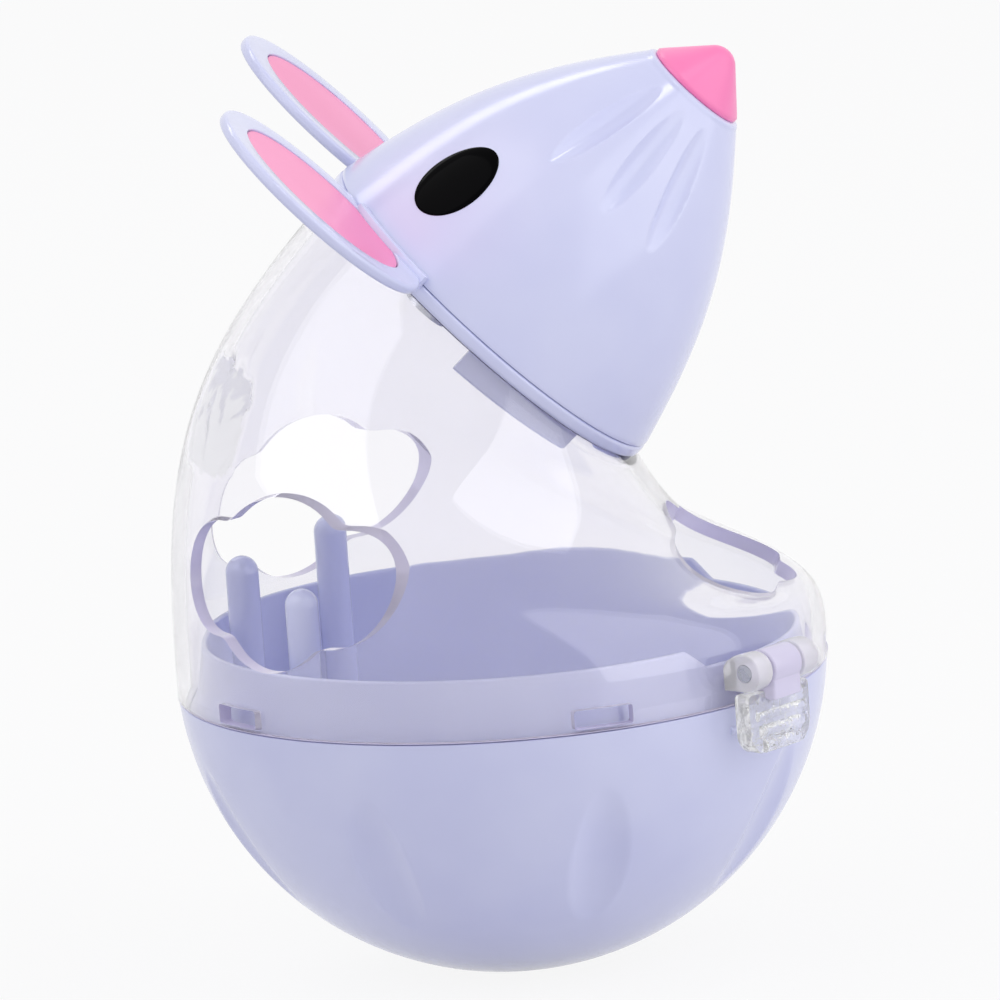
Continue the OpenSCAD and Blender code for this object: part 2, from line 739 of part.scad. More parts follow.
module head_shell() {
    color("#d4d7f0") at_neck() difference() {
        intersection() {
            head_form(0);
            cylinder(r = head_d, h = 2 * head_l);
        }
        difference() {
            head_form(-head_wall);
            head_screw_places() translate([0, 0, -1]) difference() {
                cylinder(d = screw_d + 2 * boss_wall, h = head_l);
                cylinder(d = pilot_d, h = screw_l + pilot_spare);
            }
        }
        for (side = [-1, 1]) {
            difference() {
                eye_prism(side, inset_gap);
                head_form(-eye_depth);
            }
            for (turn = whisker_turns)
                rotate([0, 0, 180 + side * turn]) whisker_cutter();
        }
        translate([0, 0, head_l - 2 * head_wall])
            cylinder(d = nose_stem_d + 2 * inset_gap, h = 4 * head_wall);
    }
}

module eye(side) {
    color("#08080a") at_neck() difference() {
        intersection() {
            eye_prism(side, 0);
            head_form(eye_proud);
        }
        head_form(-eye_depth + inset_gap / 2);
    }
}

module left_eye() {
    eye(1);
}

module right_eye() {
    eye(-1);
}

// A cone with a round tip, whose sides run into the tip without a crease, on a stem
module nose() {
    base_r = muzzle_d / 2 - nose_step;
    tip_z = nose_l - nose_tip_r;
    run = [base_r, nose_edge - tip_z];
    touch_turn = atan2(run[1], run[0]) + acos(nose_tip_r / norm(run));
    touch = [nose_tip_r * cos(touch_turn), tip_z + nose_tip_r * sin(touch_turn)];
    stem_l = 1.5 * head_wall;
    color("#ff82bc") at_neck() translate([0, 0, head_l]) {
        rotate_extrude($fn = 128) intersection() {
            union() {
                polygon([[0, 0], [base_r, 0], [base_r, nose_edge], touch, [0, touch[1]]]);
                translate([0, tip_z]) circle(nose_tip_r);
            }
            square([base_r, nose_l]);
        }
        translate([0, 0, -stem_l]) cylinder(d = nose_stem_d, h = stem_l + eps);
    }
}

module head_screws() {
    color("#b9bcc2") at_neck() head_screw_places() translate([0, 0, -ear_t]) rotate([180, 0, 0]) screw();
}

base_bowl();
counterweight();
peg_floor();
floor_screws();
hinge_pin();
clear_dome();
front_clip();
clip_pin();
ear_plate();
left_ear_inlay();
right_ear_inlay();
head_shell();
left_eye();
right_eye();
nose();
head_screws();
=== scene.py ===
"""Wobble treat dispenser: the looks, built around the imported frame.

Sizes are in millimetres, and angles are written in degrees. Heights are from the middle of the bowl's
ball, until a piece is made and its points are put into the frame, in metres. The studio's floor and
lamps are placed in metres.
"""

import bmesh
import bpy
import numpy as np
from mathutils import Matrix, Vector


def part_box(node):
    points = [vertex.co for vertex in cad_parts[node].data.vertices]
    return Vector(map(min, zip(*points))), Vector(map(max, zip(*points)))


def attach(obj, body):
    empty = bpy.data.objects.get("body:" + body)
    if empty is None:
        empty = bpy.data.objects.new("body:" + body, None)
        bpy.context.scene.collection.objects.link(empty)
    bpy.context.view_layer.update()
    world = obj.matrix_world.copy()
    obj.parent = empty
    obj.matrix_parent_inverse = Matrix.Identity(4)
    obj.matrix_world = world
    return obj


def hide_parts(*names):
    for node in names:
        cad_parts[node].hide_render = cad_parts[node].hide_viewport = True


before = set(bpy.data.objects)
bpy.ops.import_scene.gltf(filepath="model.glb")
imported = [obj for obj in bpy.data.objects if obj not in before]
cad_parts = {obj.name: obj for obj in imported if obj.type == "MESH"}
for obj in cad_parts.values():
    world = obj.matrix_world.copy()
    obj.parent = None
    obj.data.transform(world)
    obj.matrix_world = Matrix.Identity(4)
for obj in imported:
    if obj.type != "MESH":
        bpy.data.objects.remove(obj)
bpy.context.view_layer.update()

MM = 0.001
upward = np.array([0.0, 0.0, 1.0])

# Faces that would lie in one plane are kept this far apart
face_gap = 0.02

# How much longer a bore's cutter is than the piece that it goes through
bore_extra = 2

# The short step along a curve, or around it, over which its direction is measured
small_step = 0.005

# How many sides the round forms have
bowl_sides = 540
dome_sides = 288
head_sides = 540
eye_sides = 96
nose_sides = 160
ear_sides = 200
inlay_sides = 240
rod_sides = 48
neck_rod_sides = 256
sweep_steps = 40

# The ball, its foot and its rim
dome_low, dome_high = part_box("clear_dome")
ball_r = (dome_high.x - dome_low.x) / 2 / MM
foot_r = 4.5
foot_rings = (0.4, 2, foot_r - 0.1)
foot_z = np.sqrt(ball_r ** 2 - foot_r ** 2)
ball_mid = np.array([0, 0, foot_z])
bowl_wall = 2
cavity_r = ball_r - bowl_wall
rim_drop = 3.3
rim_round = 0.15

# The lip that the skirt slides over
lip_in = 33.7
lip_foot_r = 35.37
lip_top_r = 34.4
lip_h = 3.5
lip_front_h = 1.3
lip_front_turn = 48
lip_ramp = 5
lip_fillet = 0.3

# The flutes around the bowl
flute_count = 8
flute_first = 20
flute_w = 7
flute_l = 20.5
flute_depth = 0.95
flute_dip = 31
flute_soft = 0.05

# The dome's loft, from the skirt to the neck
dome_wall = 1.6
skirt_in = ball_r - dome_wall
skirt_bottom = -3.15
skirt_round = 0.12
neck_d = 45.6
neck_tilt = np.radians(44.3)
neck_mid = np.array([2, 0, 39.6])
neck_end = 1.85
neck_axis = np.array([np.cos(neck_tilt), 0, np.sin(neck_tilt)])
neck_down = np.array([np.sin(neck_tilt), 0, -np.cos(neck_tilt)])
neck_side = np.array([0.0, 1.0, 0.0])
chest_rise = 12.2
back_rise = 23.5
back_reach = 27.5
throat_lean = np.array([-10.2, 0, 22.2])
shoulder = 2.1

# The treat holes and the snap windows
hole_d = 19.6
chest_hole_d = 17.2
hole_w = 31
lobe_h = 13
notch_power = 28
rear_hole_turn = 133
rear_hole_z = 14
chest_hole_mid = np.array([26.5, 0, 9.4])
chest_hole_tilt = np.radians(62)
hole_reach = 9.4
snap_step = 72
window_first = -70
window = np.array([6.4, 7, 2.2])

# The crinkled pad inside the dome's back: half its width in mm, half its height as a share of the loft
pad_turn = np.radians(199)
pad_mid = 0.56
pad_size = (9, 0.13)
pad_t = 0.2
pad_crinkle = 0.12

# The rear hinge and the front clip, each in its own upright plane
clip_turn = -37
hinge_turn = clip_turn + 180
hinge_r = 40
hinge_drop = 5.6
knuckle_r = 2.3
knuckle_w = 5
side_knuckle_w = 3
hinge_w = 11.8
pin_r = 1
pin_gap = 0.05
bore_r = pin_r + pin_gap
arm_drop = 0.6
arm_in = 37.7
bridge_lift = 0.3
web_in = 0.6
keeper_r = 0.6
keeper_w = 9
keeper_in = 1.05
keeper_drop = 6.1
keeper_round = 0.2
clip_r = 40.1
clip_z = 1
barrel_r = 2.2
barrel_w = 5
lug_w = 2.6
lug_sag = 0.4
clip_w = 11
clip_in = 38.3
clip_t = 2.2
clip_top = -1.6
clip_bottom = -8.7
clip_corner = 2.6
clip_top_corner = 0.5
clip_round = 0.25
strap_root = 1
strap_inset = 0.4
grip_rise = 1
hook_gap = 0.24
hook_w = 7
hook_h = 0.8
hook_root = 0.5
hook_round = 0.15
ridge_count = 3
ridge_r = 0.8
ridge_taper = 0.15
ridge_w = 7
ridge_step = 1.7
edge_round = 0.3

# The head, along the neck's axis from its rim
head_r = 23.4
head_l = 34.5
muzzle_r = 6.3
head_wall = 1.8
head_rim_round = 0.3
muzzle_start = 0.985
muzzle_round = 0.9
inner_end = 0.95
head_edge = np.array([[head_r, 0], [20.1, 0.41 * head_l], [16.6, 0.645 * head_l], [muzzle_r, head_l]])
whisker_turns = (62, 90, 115)
whisker_span = (0.54, 0.95)
whisker_round = 1.5
whisker_depth = 0.95
whisker_soft = 0.04
eye_l = 10.9
eye_w = 7.6
eye_z = 10.5
eye_turn = 45
eye_proud = 0.4
eye_depth = 0.8
eye_step = 0.02
eye_crown = 0.8
nose_r = 6.0
nose_l = 5.7
nose_edge = 0.5
nose_tip_r = 2.4
nose_stem_r = 2
nose_stem_l = 2.7
nose_round = 0.2
nose_crease = 0.05
stem_gap = 0.1

# The ears
ear_r = 14.75
ear_t = 1.7
ear_disc_t = 1.3
ear_lift = 0.5
ear_rise = 25.2
ear_side = 24.25
ear_round = 0.45
inlay_r = 11.3
inlay_t = 0.7
inlay_gap = 0.1
inlay_sink = 0.15
inlay_round = 0.2
pocket_round = 0.15
collar_h = 1.1
collar_w = 1.2
collar_turn = 131
collar_arc = 32
collar_in = head_r + 0.1
collar_sink = 0.2
collar_round = 0.25
collar_bevel = 0.08
tab_in = 19.1
tab_out = 20.8
tab_l = 3.3
tab_corner = 0.3
tab_turn = 68
tab_arc = 49


def linear(hex_code):
    """An sRGB hex colour as the linear colour that sockets take."""
    shares = [int(hex_code[i:i + 2], 16) / 255 for i in (1, 3, 5)]
    return [s / 12.92 if s <= 0.04045 else ((s + 0.055) / 1.055) ** 2.4 for s in shares] + [1.0]


def per_size(size):
    """The scale of a pattern whose marks are this many millimetres across."""
    return 1 / (size * MM)


def add_node(tree, kind, inputs=None, **settings):
    """Adds a node with its settings; an input is a value, or a (node, output) pair to link from."""
    node = tree.nodes.new(kind)
    for name, value in settings.items():
        setattr(node, name, value)
    for name, value in (inputs or {}).items():
        if isinstance(value, tuple) and isinstance(value[0], bpy.types.Node):
            tree.links.new(value[0].outputs[value[1]], node.inputs[name])
        else:
            node.inputs[name].default_value = value
    return node


def new_material(name):
    """An empty node material and its tree."""
    material = bpy.data.materials.new(name)
    material.use_nodes = True
    material.node_tree.nodes.clear()
    return material, material.node_tree


# Injection-moulded ABS from a polished tool: a gloss skin over a body colour that is even but for
# faint flow clouds, with a slight ripple that lets long highlights waver. A satin piece has one even sheen.
def moulded_abs(name, body_hex, cloud_hex, gloss, dull, ripple, shine):
    cloud_size, mark_size, wave_size = 14, 3, 5
    material, tree = new_material(name)
    place = add_node(tree, "ShaderNodeTexCoord")
    clouds = add_node(tree, "ShaderNodeTexNoise", {"Vector": (place, "Object"),
                                                   "Scale": per_size(cloud_size),
                                                   "Detail": 2.0, "Roughness": 0.5})
    tint = add_node(tree, "ShaderNodeValToRGB", {"Fac": (clouds, "Fac")})
    tint.color_ramp.elements[0].color = linear(cloud_hex)
    tint.color_ramp.elements[0].position = 0.35
    tint.color_ramp.elements[1].color = linear(body_hex)
    tint.color_ramp.elements[1].position = 0.65
    sheen_marks = add_node(tree, "ShaderNodeTexNoise", {"Vector": (place, "Object"),
                                                        "Scale": per_size(mark_size),
                                                        "Detail": 2.0, "Roughness": 0.5})
    rough = add_node(tree, "ShaderNodeMapRange", {"Value": (sheen_marks, "Fac"),
                                                  "From Min": 0.3, "From Max": 0.7,
                                                  "To Min": gloss, "To Max": dull})
    waves = add_node(tree, "ShaderNodeTexNoise", {"Vector": (place, "Object"), "Scale": per_size(wave_size),
                                                  "Detail": 1.0})
    skin = add_node(tree, "ShaderNodeBump", {"Height": (waves, "Fac"), "Strength": 0.5,
                                             "Distance": ripple * MM})
    shader = add_node(tree, "ShaderNodeBsdfPrincipled", {"Base Color": (tint, "Color"), "IOR": 1.54,
                                                         "Specular IOR Level": shine,
                                                         "Roughness": (rough, "Result"),
                                                         "Normal": (skin, "Normal")})
    add_node(tree, "ShaderNodeOutputMaterial", {"Surface": (shader, "BSDF")})
    return material


# Injection-moulded clear polystyrene: glassy faces with a faint flow ripple. Its slight milkiness and
# lilac cast pile up where the eye looks along the wall, so cut edges and thick knuckles are less clear
# and more lilac. Thick pieces also scatter light inside, which lets them look brighter than solid glass,
# as a lower index does.
def clear_polystyrene(name, body_hex, clear, index, rough, ripple_size, ripple):
    material, tree = new_material(name)
    place = add_node(tree, "ShaderNodeTexCoord")
    flow = add_node(tree, "ShaderNodeTexNoise", {"Vector": (place, "Object"), "Scale": per_size(ripple_size),
                                                 "Detail": 2.0, "Roughness": 0.45})
    skin = add_node(tree, "ShaderNodeBump", {"Height": (flow, "Fac"), "Strength": 0.4,
                                             "Distance": ripple * MM})
    shader = add_node(tree, "ShaderNodeBsdfPrincipled", {"Base Color": linear(body_hex), "IOR": index,
                                                         "Roughness": rough, "Transmission Weight": clear,
                                                         "Normal": (skin, "Normal")})
    add_node(tree, "ShaderNodeOutputMaterial", {"Surface": (shader, "BSDF")})
    return material


# Drawn steel wire, bright zinc plated: a metal shine broken by the soft mottle of the plating.
def plated_steel():
    mottle_size, mottle_depth = 0.8, 0.02
    material, tree = new_material("zinc_plated_steel")
    place = add_node(tree, "ShaderNodeTexCoord")
    mottle = add_node(tree, "ShaderNodeTexNoise", {"Vector": (place, "Object"),
                                                   "Scale": per_size(mottle_size), "Detail": 3.0})
    rough = add_node(tree, "ShaderNodeMapRange", {"Value": (mottle, "Fac"), "From Min": 0.3, "From Max": 0.7,
                                                  "To Min": 0.22, "To Max": 0.4})
    skin = add_node(tree, "ShaderNodeBump", {"Height": (mottle, "Fac"), "Strength": 0.3,
                                             "Distance": mottle_depth * MM})
    shader = add_node(tree, "ShaderNodeBsdfPrincipled", {"Base Color": linear("#c4c6ca"), "Metallic": 1.0,
                                                         "Roughness": (rough, "Result"),
                                                         "Normal": (skin, "Normal")})
    add_node(tree, "ShaderNodeOutputMaterial", {"Surface": (shader, "BSDF")})
    return material


# Cast iron straight from the sand: a dark, grainy face with pits between the grains.
def sand_cast_iron():
    grain_size, pit_depth = 0.7, 0.1
    material, tree = new_material("sand_cast_iron")
    place = add_node(tree, "ShaderNodeTexCoord")
    grains = add_node(tree, "ShaderNodeTexNoise", {"Vector": (place, "Object"), "Scale": per_size(grain_size),
                                                   "Detail": 6.0, "Roughness": 0.7})
    tint = add_node(tree, "ShaderNodeValToRGB", {"Fac": (grains, "Fac")})
    tint.color_ramp.elements[0].color = linear("#2c2d30")
    tint.color_ramp.elements[1].color = linear("#6a6c70")
    skin = add_node(tree, "ShaderNodeBump", {"Height": (grains, "Fac"), "Strength": 0.8,
                                             "Distance": pit_depth * MM})
    shader = add_node(tree, "ShaderNodeBsdfPrincipled", {"Base Color": (tint, "Color"), "Metallic": 0.8,
                                                         "Roughness": 0.65, "Normal": (skin, "Normal")})
    add_node(tree, "ShaderNodeOutputMaterial", {"Surface": (shader, "BSDF")})
    return material


white_abs = moulded_abs("white_abs_moulded", "#d8dbf9", "#d2d5f6",
                        gloss=0.15, dull=0.2, ripple=0.015, shine=0.5)
pink_abs = moulded_abs("pink_abs_moulded", "#ff8ac2", "#fd82bc",
                       gloss=0.32, dull=0.32, ripple=0.01, shine=0.4)
black_abs = moulded_abs("black_abs_gloss", "#030304", "#050507",
                        gloss=0.06, dull=0.12, ripple=0.006, shine=0.02)
clear_wall = clear_polystyrene("clear_polystyrene_wall", "#fcfbff",
                               clear=0.96, index=1.5, rough=0.02, ripple_size=11, ripple=0.05)
clear_edge = clear_polystyrene("clear_polystyrene_edge", "#e8e2fb",
                               clear=0.15, index=1.4, rough=0.1, ripple_size=3, ripple=0.02)
clear_grip = clear_polystyrene("clear_polystyrene_grip", "#ffffff",
                               clear=0.82, index=1.33, rough=0.03, ripple_size=1.3, ripple=1.2)
clear_block = clear_polystyrene("clear_polystyrene_block", "#fdfcff",
                                clear=0.45, index=1.25, rough=0.08, ripple_size=3, ripple=0.05)
clear_frost = clear_polystyrene("clear_polystyrene_frosted", "#eeeef3",
                                clear=0.75, index=1.25, rough=0.14, ripple_size=1.5, ripple=0.3)
steel = plated_steel()
iron = sand_cast_iron()


def turn_z(points, angle):
    """Points turned about the bowl's axis."""
    c, s = np.cos(np.radians(angle)), np.sin(np.radians(angle))
    return np.asarray(points, float) @ np.array([[c, s, 0], [-s, c, 0], [0, 0, 1]])


def at_neck(points):
    """Points given from the middle of the head's rim: towards the throat, to the left, along the neck."""
    points = np.asarray(points, float)
    return neck_mid + points[..., :1] * neck_down + points[..., 1:2] * neck_side + points[..., 2:] * neck_axis


def cubic(p, u):
    """A point on a cubic curve; p holds four points, each of which may be an array of points."""
    return (1 - u) ** 3 * p[0] + 3 * (1 - u) ** 2 * u * p[1] + 3 * (1 - u) * u ** 2 * p[2] + u ** 3 * p[3]


def unit(vectors):
    """Vectors of length 1 in the same directions."""
    return vectors / np.linalg.norm(vectors, axis=-1, keepdims=True)


def ring_faces(rows, columns, closed):
    """Quads between rings of points; closed joins the last ring to the first."""
    faces = []
    for j in range(rows if closed else rows - 1):
        for i in range(columns):
            k = (i + 1) % columns
            up = (j + 1) % rows
            faces.append((j * columns + i, j * columns + k, up * columns + k, up * columns + i))
    return faces


def rings_to_mesh(rings, closed=True):
    """Points and faces of a stack of rings; where it isn't closed, each end is drawn to a point."""
    rings = np.asarray(rings, float)
    rows, columns = rings.shape[:2]
    points = rings.reshape(-1, 3)
    faces = ring_faces(rows, columns, closed)
    if not closed:
        points = np.vstack([points, rings[0].mean(0), rings[-1].mean(0)])
        first, last = rows * columns, rows * columns + 1
        top = (rows - 1) * columns
        for i in range(columns):
            k = (i + 1) % columns
            faces.append((first, k, i))
            faces.append((last, top + i, top + k))
    return points, faces


def lathe(profile, sides):
    """Rings of a profile of (radius, height) pairs turned about Z."""
    a = np.linspace(0, 2 * np.pi, sides, endpoint=False)
    profile = np.asarray(profile, float)
    return np.stack([np.outer(profile[:, 0], np.cos(a)), np.outer(profile[:, 0], np.sin(a)),
                     np.outer(profile[:, 1], np.ones(sides))], axis=-1)


def arc(mid, radius, start, end, steps):
    """Points on an arc, in the plane of a profile."""
    a = np.radians(np.linspace(start, end, steps))
    return np.stack([mid[0] + radius * np.cos(a), mid[1] + radius * np.sin(a)], axis=-1)


def make(name, points, faces, finishes=(), finish=0):
    """A mesh object from points in millimetres about the ball's middle, with its faces turned outwards.

    Of its finishes, all faces get the one that is numbered, or each face its own.
    """
    mesh = bpy.data.meshes.new(name)
    mesh.from_pydata(((np.asarray(points) + ball_mid) * MM).tolist(), [], [list(f) for f in faces])
    for material in finishes:
        mesh.materials.append(material)
    mesh.polygons.foreach_set("material_index", np.broadcast_to(finish, len(faces)).astype(np.int32))
    shape = bmesh.new()
    shape.from_mesh(mesh)
    bmesh.ops.recalc_face_normals(shape, faces=shape.faces)
    shape.to_mesh(mesh)
    shape.free()
    piece = bpy.data.objects.new(name, mesh)
    bpy.context.scene.collection.objects.link(piece)
    return piece


def prism(outline, low, high, rounding):
    """Rings of a prism over a flat outline, from low to high, with the edges of its two ends rounded."""
    mid = outline.mean(0)
    half = np.abs(outline - mid).max()
    third = 0.3 * rounding
    rings = []
    for inset, level in ((1.5 * rounding, low), (rounding, low), (third, low + third),
                         (0, low + rounding), (0, high - rounding),
                         (third, high - third), (rounding, high), (1.5 * rounding, high)):
        flat = mid + (outline - mid) * (1 - inset / half)
        rings.append(np.column_stack([flat, np.full(len(flat), level)]))
    return np.array(rings)


def block(low, high, rounding, turn, *looks):
    """A block with rounded edges, given by two corners in an upright plane that is turned about the bowl."""
    low, high = np.array(low, float), np.array(high, float)
    shape = bmesh.new()
    bmesh.ops.create_cube(shape, size=1)
    for v in shape.verts:
        v.co = Vector(low + (np.array(v.co) + 0.5) * (high - low))
    bmesh.ops.bevel(shape, geom=list(shape.edges), offset=rounding, segments=3, affect="EDGES", profile=0.5)
    points = turn_z([v.co for v in shape.verts], turn)
    faces = [[v.index for v in f.verts] for f in shape.faces]
    shape.free()
    return make("block", points, faces, *looks)


def cross_rod(radius, width, rounding, place, turn, *looks):
    """A rod with rounded ends across an upright plane that is turned about the bowl."""
    half = width / 2
    if rounding:
        profile = np.vstack([arc((radius - rounding, -half + rounding), rounding, -90, 0, 5),
                             arc((radius - rounding, half - rounding), rounding, 0, 90, 5)])
    else:
        profile = np.array([[radius, -half], [radius, half]])
    points, faces = rings_to_mesh(lathe(profile, rod_sides), closed=False)
    points = np.asarray(place) + np.stack([points[:, 0], points[:, 2], points[:, 1]], axis=-1)
    return make("rod", turn_z(points, turn), faces, *looks)


def joined(tools):
    """Separate objects as one object."""
    shape = bmesh.new()
    for tool in tools:
        shape.from_mesh(tool.data)
    mesh = bpy.data.meshes.new("tools")
    for material in tools[0].data.materials:
        mesh.materials.append(material)
    shape.to_mesh(mesh)
    shape.free()
    for tool in tools:
        bpy.data.objects.remove(tool)
    result = bpy.data.objects.new("tools", mesh)
    bpy.context.scene.collection.objects.link(result)
    return result


def combine(piece, tools, way):
    """Cuts the tools from a piece, joins them to it or keeps what they share, and removes the tools."""
    tool = joined(tools)
    change = piece.modifiers.new(way, "BOOLEAN")
    change.operation = way
    change.solver = "EXACT"
    change.object = tool
    bpy.context.view_layer.update()
    mesh = bpy.data.meshes.new_from_object(piece.evaluated_get(bpy.context.evaluated_depsgraph_get()))
    piece.modifiers.clear()
    piece.data = mesh
    bpy.data.objects.remove(tool)
    return piece


def fused(tools):
    """Tools that overlap as one tool."""
    for tool in tools[1:]:
        combine(tools[0], [tool], "UNION")
    return tools[0]


def dress(piece, body, node, crease=32):
    """Shades a piece smooth up to a crease and lets it ride on its body in a node's place."""
    piece.data.polygons.foreach_set("use_smooth", [True] * len(piece.data.polygons))
    piece.data.set_sharp_from_angle(angle=np.radians(crease))
    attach(piece, body)
    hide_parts(node)


def softened(depth, softness):
    """A depth that fades softly to nothing where it would turn negative."""
    return (depth + np.sqrt(depth ** 2 + softness ** 2)) / 2


# Bowl

def flute_sink(az, lat):
    """How deep the flutes lie under the ball's face, at angles around and above the middle."""
    step = 2 * np.pi / flute_count
    turn = (az - np.radians(flute_first)) / step
    across = ball_r * np.cos(lat) * (turn - np.round(turn)) * step
    along = ball_r * (lat + np.radians(flute_dip))
    raw = flute_depth * (1 - (2 * across / flute_w) ** 2 - (2 * along / flute_l) ** 2)
    return softened(raw, flute_soft)


def lip_height(az):
    """The lip's height around the bowl: it ramps down in front, under the chest."""
    turn = np.degrees(np.abs((az + np.pi) % (2 * np.pi) - np.pi))
    share = np.clip((turn - lip_front_turn) / lip_ramp + 0.5, 0, 1)
    return lip_front_h + (lip_h - lip_front_h) * share


def make_bowl():
    """The bowl, row by row from its foot over the rim and the lip to its inside, with hinge and keeper."""
    az = np.linspace(0, 2 * np.pi, bowl_sides, endpoint=False)
    ones = np.ones_like(az)
    rows = []

    def add_row(r, z):
        rows.append(np.stack([r * np.cos(az), r * np.sin(az), z * ones], axis=-1))

    for r in foot_rings:
        add_row(r, -foot_z)
    rim_lat = -np.arcsin((rim_drop + rim_round) / ball_r)
    for lat in np.linspace(-np.arcsin(foot_z / ball_r), rim_lat, 110):
        r = ball_r - flute_sink(az, lat)
        add_row(r * np.cos(lat), r * np.sin(lat))
    rim_r = ball_r * np.cos(rim_lat)
    for r, z in arc((rim_r - rim_round, -rim_drop - rim_round), rim_round, 10, 90, 6):
        add_row(r, z)
    add_row(lip_foot_r + lip_fillet, -rim_drop)
    for r, z in arc((lip_foot_r + lip_fillet, -rim_drop + lip_fillet), lip_fillet, 260, 190, 4):
        add_row(r, z)
    top = lip_height(az)
    lip_t = lip_top_r - lip_in
    for share in np.linspace(0.12, 1, 8):
        r = lip_foot_r + (lip_top_r - lip_foot_r) * share
        add_row(r, -rim_drop + share * (top - lip_t / 2 + rim_drop))
    for a in np.radians(np.linspace(20, 180, 8)):
        add_row(lip_in + lip_t / 2 * (1 + np.cos(a)), top - lip_t / 2 + lip_t / 2 * np.sin(a))
    meet_z = -np.sqrt(cavity_r ** 2 - lip_in ** 2)
    for share in np.linspace(0.1, 1, 8):
        add_row(lip_in, (1 - share) * (top - lip_t / 2) + share * meet_z)
    for lat in np.linspace(np.arcsin(meet_z / cavity_r), np.radians(-89.5), 50)[1:]:
        add_row(cavity_r * np.cos(lat), cavity_r * np.sin(lat))
    bowl = make("base_bowl_shell", *rings_to_mesh(rows, closed=False), [white_abs])

    bore = (bore_r, hinge_w + bore_extra, 0, (hinge_r, 0, -hinge_drop), hinge_turn)
    tools = [cross_rod(keeper_r, keeper_w, keeper_round, (ball_r - keeper_in, 0, -keeper_drop), clip_turn)]
    web_half = side_knuckle_w / 2 - face_gap
    for side in (-1, 1):
        y = side * (hinge_w - side_knuckle_w) / 2
        knuckle = cross_rod(knuckle_r, side_knuckle_w, edge_round, (hinge_r, y, -hinge_drop), hinge_turn)
        web = block((cavity_r + web_in, y - web_half, -hinge_drop - knuckle_r + face_gap),
                    (hinge_r, y + web_half, -hinge_drop), edge_round, hinge_turn)
        tools.append(combine(fused([knuckle, web]), [cross_rod(*bore)], "DIFFERENCE"))
    combine(bowl, tools, "UNION")
    dress(bowl, "base", "base_bowl")


# Dome

clear_looks = (clear_wall, clear_edge, clear_grip, clear_block, clear_frost)
wall_look, edge_look, grip_look, block_look, frost_look = range(len(clear_looks))


def dome_point(a, u):
    """The dome's outer face at angles a from the front and a share u of the way from skirt to neck."""
    c, s = np.cos(a)[:, None], np.sin(a)[:, None]
    back = (1 - c) / 2
    foot = ball_r * (c * np.array([1, 0, 0]) + s * neck_side)
    top = neck_mid - neck_end * neck_axis + neck_d / 2 * (c * neck_down + s * neck_side)
    bend = top - back * back_reach * neck_axis - (1 - back) * throat_lean + shoulder * s * neck_side
    return cubic([foot, foot + (chest_rise + (back_rise - chest_rise) * back) * upward, bend, top], u)


def dome_normal(a, u):
    """The dome's outward direction, from small steps along and around it."""
    along = dome_point(a, min(u + small_step, 1)) - dome_point(a, max(u - small_step, 0))
    around = dome_point(a + small_step, u) - dome_point(a - small_step, u)
    return unit(np.cross(around, along))


def hole_outline(height, steps=180):
    """Outline of a treat hole: a circle with a lobe to each side, its notches a little rounded."""
    a = np.linspace(0, 2 * np.pi, steps, endpoint=False)
    c, s = np.abs(np.cos(a)), np.abs(np.sin(a))
    run = (hole_w - lobe_h) / 2
    flat = lobe_h / 2 / np.maximum(s, 1e-6)
    end = run * c + np.sqrt(np.maximum((lobe_h / 2) ** 2 - (run * s) ** 2, 0))
    lobes = np.where(flat * c <= run, flat, end)
    r = ((height / 2) ** notch_power + lobes ** notch_power) ** (1 / notch_power)
    return np.stack([r * np.cos(a), r * np.sin(a)], axis=-1)


def hole_cutter(height, mid, wide, up):
    """A prism over the treat hole's outline, through the wall at mid."""
    outline = hole_outline(height)
    out = np.cross(wide, up)
    rings = [mid + outline[:, :1] * wide + outline[:, 1:] * up + reach * out
             for reach in np.linspace(-hole_reach, hole_reach, 3)]
    return make("hole", *rings_to_mesh(rings, closed=False), clear_looks, edge_look)


def back_pad(a, u):
    """How much thicker the wall is over the crinkled pad inside the dome's back, and where the pad is."""
    across = ball_r * (a - pad_turn) / pad_size[0]
    along = (u - pad_mid) / pad_size[1]
    cover = np.clip(1.6 - 1.6 * (across ** 4 + along ** 4), 0, 1)
    crinkle = np.sin(9 * along + 2.3 * np.sin(4 * across)) * np.cos(5 * across - 3 * along)
    return cover * (pad_t + pad_crinkle * crinkle), cover + 0.25 * crinkle > 0.5


